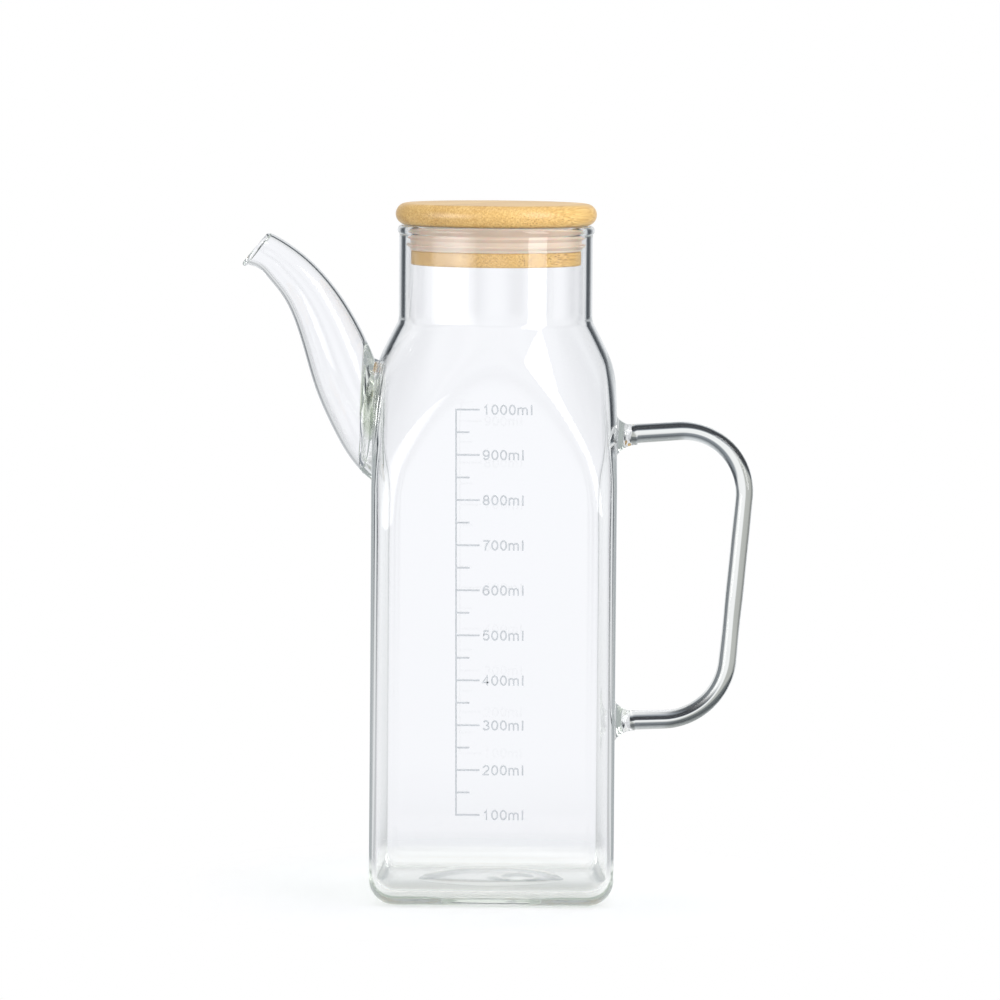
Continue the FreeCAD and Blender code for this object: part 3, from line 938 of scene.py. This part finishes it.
def fired_enamel():
    """Glass enamel, screen printed and fired: a matt pale grey, thinner in places."""
    material, tree = empty_material("glass enamel, screen printed")
    place = node(tree, "TexCoord", out="Object")
    grain = node(tree, "TexNoise", {0: place}, Scale=1 / (GRAIN_SIZE * MM), Detail=2.0)
    base = node(tree, "ValToRGB", {0: grain}, [(0.0, "#B4B8BC"), (1.0, "#C4C7CB")])
    enamel = node(tree, "BsdfPrincipled", {"Base Color": base}, Roughness=0.6)
    node(tree, "OutputMaterial", {"Surface": enamel}, out=None)
    return material


def finished(piece, material, stands_for=None, sharp_from=None):
    """A piece with its material, riding on the jug's one body, in place of a CAD node if named.

    Edges that turn by more than sharp_from degrees stay sharp on an otherwise smooth piece.
    """
    piece.data.materials.clear()
    piece.data.materials.append(material)
    if sharp_from:
        piece.data.shade_smooth()
        piece.data.set_sharp_from_angle(angle=math.radians(sharp_from))
    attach(piece, "root")
    if stands_for:
        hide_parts(stands_for)


finished(glass_jug(), borosilicate_glass(), "glass_jug", 50)
finished(bamboo_lid(), turned_bamboo(), "bamboo_lid", 60)
finished(silicone_seal(), moulded_silicone(), "silicone_seal", 50)
finished(printed_scale(), fired_enamel())

# ---- Studio ----
FLOOR_REACH = 4000.0         # half the floor's width
FLOOR_GAP = 0.2              # the floor lies this far under the foot, so the two don't touch
FADE_START = 62.0            # the floor goes over to plain white between these distances
FADE_END = 125.0
LOOK_HEIGHT = 30.0           # rays mirrored in the jug's foot come from about this height
PAINTED_SHADE_START = 90.0           # the floor's dark ring of painted shade goes over to white between these places
PAINTED_SHADE_END = 150.0            # on the handle's side
HAZE = 0.72                  # share of pale light in the dark gaps on the floor near by
HAZE_START = 300.0           # it fades out between these distances
HAZE_END = 1600.0
TRAPPED = 4                  # mirrorings after which a ray has lost most of its light
AMBIENT = "#C4C6C9"          # the level of the soft light from all round
THROUGH_LIGHT = "#FAFBFF"    # seen through both walls of the jug


def cosine(degrees):
    """Of an angle in degrees."""
    return math.cos(math.radians(degrees))


def sine(degrees):
    """Of an angle in degrees."""
    return math.sin(math.radians(degrees))


def seen_ray(tree, path):
    """1 for a ray that the camera, gloss or glass looks along, 0 for one that only lights."""
    first = node(tree, "Math", {0: path["Is Camera Ray"], 1: path["Is Glossy Ray"]},
                 operation="MAXIMUM")
    return node(tree, "Math", {0: first, 1: path["Is Transmission Ray"]}, operation="MAXIMUM")


def mirrored_studio(tree, path, x, y, inside, nearness):
    """The light along a ray that was mirrored at the glass, from the x and y of its direction.

    Mirrored inside the glass, it meets white screens along the four main directions and again
    half way between them, with a dark gap between two screens; nearness mixes a pale light into
    that. After many mirrorings it is an even grey. Mirrored at the outside only, it meets a grey
    backdrop behind and white screens elsewhere.
    """
    across = node(tree, "Math", {0: x}, operation="ABSOLUTE")
    along = node(tree, "Math", {0: y}, operation="ABSOLUTE")
    facing = node(tree, "Math", {0: across, 1: along}, operation="MAXIMUM")
    inner_light = node(tree, "ValToRGB", {0: facing}, [
        (cosine(45), "#F0F1F2"), (cosine(38), "#D8DCDF"), (cosine(35), "#80868C"),
        (cosine(32), "#343A40"), (cosine(29), "#1C2126"), (cosine(22), "#262B30"),
        (cosine(18), "#8C9196"), (cosine(13), "#CCD0D4"), (cosine(8), "#F0F2F4"),
        (cosine(4), "#F8FAFD"),
    ])
    if nearness is not None:
        inner_light = node(tree, "Mix", {0: nearness, 6: inner_light, 7: "#E6E8EA"},
                           data_type="RGBA", out=2)
    backwards = node(tree, "Math", {0: y, 1: 0.5, 2: 0.5}, operation="MULTIPLY_ADD")
    outer_light = node(tree, "ValToRGB", {0: backwards}, [
        (0.4, "#EDEFF2"), (0.55, "#8C9298"), (0.93, "#8C9298"), (0.985, "#EDEFF2"),
    ])
    light = node(tree, "Mix", {0: inside, 6: outer_light, 7: inner_light}, data_type="RGBA", out=2)
    trapped = node(tree, "Math", {0: path["Glossy Depth"], 1: TRAPPED}, operation="GREATER_THAN")
    return node(tree, "Mix", {0: trapped, 6: light, 7: "#B8BCC0"}, data_type="RGBA", out=2)


def studio(tree, path, direction, height_light, through_light=THROUGH_LIGHT, nearness=None):
    """The light of the studio along a seen ray, as a colour, from the ray's direction.

    Straight looks are white, and looks through both walls of the jug a cool white. A ray bent by
    the solid rod meets a grey screen in two of the four quarters, and the height light under and
    over the screens. Mirrored rays meet the screens that mirrored_studio gives.
    """
    way = node(tree, "VectorMath", {0: direction}, operation="NORMALIZE")
    x, y, _ = node(tree, "SeparateXYZ", {0: way}, out=None)
    inside = node(tree, "Math", {0: path["Transmission Depth"], 1: 0.5}, operation="GREATER_THAN")
    mirrored_light = mirrored_studio(tree, path, x, y, inside, nearness)
    quarter_turn = node(tree, "Math", {0: x, 1: y, 2: 0.5}, operation="MULTIPLY_ADD")
    side_light = node(tree, "ValToRGB", {0: quarter_turn}, [
        (0.0, "#8A8D8A"), (0.12, "#B4B7B3"), (0.46, "#B4B7B3"), (0.53, "#F2F4F4"),
        (0.91, "#F2F4F4"), (0.965, "#7A8084"), (1.0, "#7A8084"),
    ])
    rod_light = node(tree, "Mix", {0: 1.0, 6: side_light, 7: height_light}, data_type="RGBA",
                     blend_type="MULTIPLY", out=2)
    plain = node(tree, "Mix", {0: inside, 6: "#FFFFFF", 7: through_light}, data_type="RGBA", out=2)
    once = node(tree, "Math", {0: path["Transmission Depth"], 1: 2, 2: 0.5}, operation="COMPARE")
    through = node(tree, "Mix", {0: once, 6: plain, 7: rod_light}, data_type="RGBA", out=2)
    mirrored = node(tree, "Math", {0: path["Glossy Depth"], 1: 0.5}, operation="GREATER_THAN")
    return node(tree, "Mix", {0: mirrored, 6: through, 7: mirrored_light}, data_type="RGBA", out=2)


def pale_floor():
    """A plain pale floor: matt, it shows the jug's shadow near by and goes to white further off.

    Bent and mirrored rays meet on it a pale patch under the jug and, round it, a dark ring of
    painted shade that ends on the handle's side. Seen through both walls of the jug, it has
    painted shade that darkens it near the jug.
    """
    corners = np.array([(-1, -1), (1, -1), (1, 1), (-1, 1)]) * FLOOR_REACH
    floor = mesh_object("floor", [(x, y, -FLOOR_GAP) for x, y in corners], [(0, 1, 2, 3)])
    material, tree = empty_material("matt floor")
    place = node(tree, "TexCoord", out="Object")
    path = node(tree, "LightPath", out=None)
    far = node(tree, "VectorMath", {0: place}, operation="LENGTH", out="Value")
    fade = node(tree, "MapRange", {0: far}, interpolation_type="SMOOTHSTEP",
                From_Min=FADE_START * MM, From_Max=FADE_END * MM)
    white_share = node(tree, "Math", {0: fade, 1: seen_ray(tree, path)}, operation="MULTIPLY")
    sideways = node(tree, "SeparateXYZ", {0: place})
    beyond = node(tree, "MapRange", {0: sideways}, interpolation_type="SMOOTHSTEP",
                  From_Min=PAINTED_SHADE_START * MM, From_Max=PAINTED_SHADE_END * MM)
    # Painted shade: a dark ring on the floor round a pale patch, shown only to bent and mirrored
    # rays
    ring = node(tree, "ValToRGB", {0: far}, [
        (0.11, "#F0F0F0"), (0.14, "#A0A6AE"), (0.19, "#181E26"), (0.42, "#181E26"),
        (0.50, "#50565E"), (0.60, "#B0B6BC"), (0.70, "#FFFFFF"),
    ])
    painted_shade = node(tree, "Mix", {0: beyond, 6: ring, 7: "#FFFFFF"}, data_type="RGBA", out=2)
    # Painted shade: seen through both walls of the jug, the floor is painted darker near the jug
    through = node(tree, "ValToRGB", {0: far}, [
        (0.08, "#E6E8EC"), (0.11, "#EDEFF3"), (0.15, "#F4F5F9"), (0.22, "#F7F8FC"),
        (0.35, "#FAFBFF"),
    ])
    direction = node(tree, "VectorMath", {0: place, 1: (0, 0, LOOK_HEIGHT * MM)},
                     operation="SUBTRACT")
    nearness = node(tree, "MapRange", {0: far}, interpolation_type="SMOOTHSTEP",
                    From_Min=HAZE_START * MM, From_Max=HAZE_END * MM, To_Min=HAZE, To_Max=0.0)
    light = studio(tree, path, direction, painted_shade, through, nearness)
    white = node(tree, "Emission", {"Color": light})
    matt = node(tree, "BsdfDiffuse", {"Color": "#F2F2F2"})
    mixed = node(tree, "MixShader", {0: white_share, 1: matt, 2: white})
    node(tree, "OutputMaterial", {"Surface": mixed}, out=None)
    floor.data.materials.append(material)


def studio_world():
    """White all round for seen rays, and a soft even light for everything else."""
    world = bpy.data.worlds.new("studio")
    bpy.context.scene.world = world
    world.use_nodes = True
    tree = world.node_tree
    tree.nodes.clear()
    path = node(tree, "LightPath", out=None)
    direction = node(tree, "TexCoord", out="Generated")
    height = node(tree, "SeparateXYZ", {0: direction}, out=2)
    height_light = node(tree, "ValToRGB", {0: height}, [
        (0.0, "#FFFFFF"), (sine(1.5), "#FFFFFF"), (sine(5), "#949AA0"), (sine(16), "#686E74"),
        (sine(24), "#B0B4B8"), (sine(34), "#D8DCE0"), (sine(60), "#FFFFFF"),
    ])
    light = studio(tree, path, direction, height_light)
    level = node(tree, "Mix", {0: seen_ray(tree, path), 6: AMBIENT, 7: light}, data_type="RGBA",
                 out=2)
    back = node(tree, "Background", {"Color": level})
    node(tree, "OutputWorld", {"Surface": back}, out=None)


def softbox(name, place, aim, size, radiance, lights=True, shows=True, fades=False):
    """An area lamp of a size in metres that shines at a point with an even radiance.

    It lights matt surfaces, shows as a reflection in the glass, or both. One that fades is
    brightest in the middle: its light falls off to nothing at the edges by 4 u (1 - u) of the
    share u of its width.
    """
    lamp = bpy.data.lights.new(name, "AREA")
    lamp.shape = "RECTANGLE"
    lamp.size, lamp.size_y = size
    lamp.energy = radiance * math.pi * size[0] * size[1]
    if fades:
        lamp.use_nodes = True
        tree = lamp.node_tree
        panel = node(tree, "NewGeometry", out="Parametric")
        u = node(tree, "SeparateXYZ", {0: panel})
        rest = node(tree, "Math", {0: 1.0, 1: u}, operation="SUBTRACT")
        both = node(tree, "Math", {0: u, 1: rest}, operation="MULTIPLY")
        level = node(tree, "MapRange", {0: both}, From_Max=0.25)
        tree.links.new(level, tree.nodes["Emission"].inputs["Strength"])
    made = placed_object(name, lamp)
    made.location = place
    back = np.array(place) - np.array(aim)
    made.rotation_mode = "QUATERNION"
    made.rotation_quaternion = Vector(back).to_track_quat("Z", "Y")
    made.visible_camera = False
    made.visible_diffuse = lights
    made.visible_glossy = shows
    made.visible_transmission = False


pale_floor()
studio_world()
softbox("right softbox", (1.15, -0.95, 0.75), (0, 0, 0.25), (0.72, 1.5), 4.8)
softbox("left softbox", (-1.3, -0.8, 0.7), (0, 0, 0.2), (1.1, 1.3), 1.1, shows=False)
softbox("left screen", (-1.18, -0.92, 0.4), (0, 0, 0.3), (1.8, 0.9), 4.5, lights=False,
        fades=True)
softbox("top softbox", (0, 0.1, 1.5), (0, 0, 0), (1.4, 1.4), 1.5, shows=False)

# ---- Camera ----
CAMERA_DISTANCE = 1965.0
CAMERA_HEIGHT = 304.0
CAMERA_ASIDE = 2.05
CAMERA_DOWN = 4.84           # degrees below the level
CAMERA_ROLL = 0.45           # degrees
SENSOR_WIDTH = 36.0
FOCAL_LENGTH = 203.2
camera_data = bpy.data.cameras.new("camera")
camera_data.sensor_width = SENSOR_WIDTH
camera_data.lens = FOCAL_LENGTH
camera_data.clip_start = 0.1
camera = placed_object("camera", camera_data)
tilt = Matrix.Rotation(math.radians(90 - CAMERA_DOWN), 4, "X")
roll = Matrix.Rotation(math.radians(CAMERA_ROLL), 4, "Z")
shift = Matrix.Translation((CAMERA_ASIDE * MM, -CAMERA_DISTANCE * MM, CAMERA_HEIGHT * MM))
camera.matrix_world = shift @ tilt @ roll
bpy.context.scene.camera = camera

scene = bpy.context.scene
scene.view_settings.view_transform = "Standard"
scene.cycles.max_bounces = 32
scene.cycles.transmission_bounces = 32
scene.cycles.glossy_bounces = 16
scene.cycles.transparent_max_bounces = 32
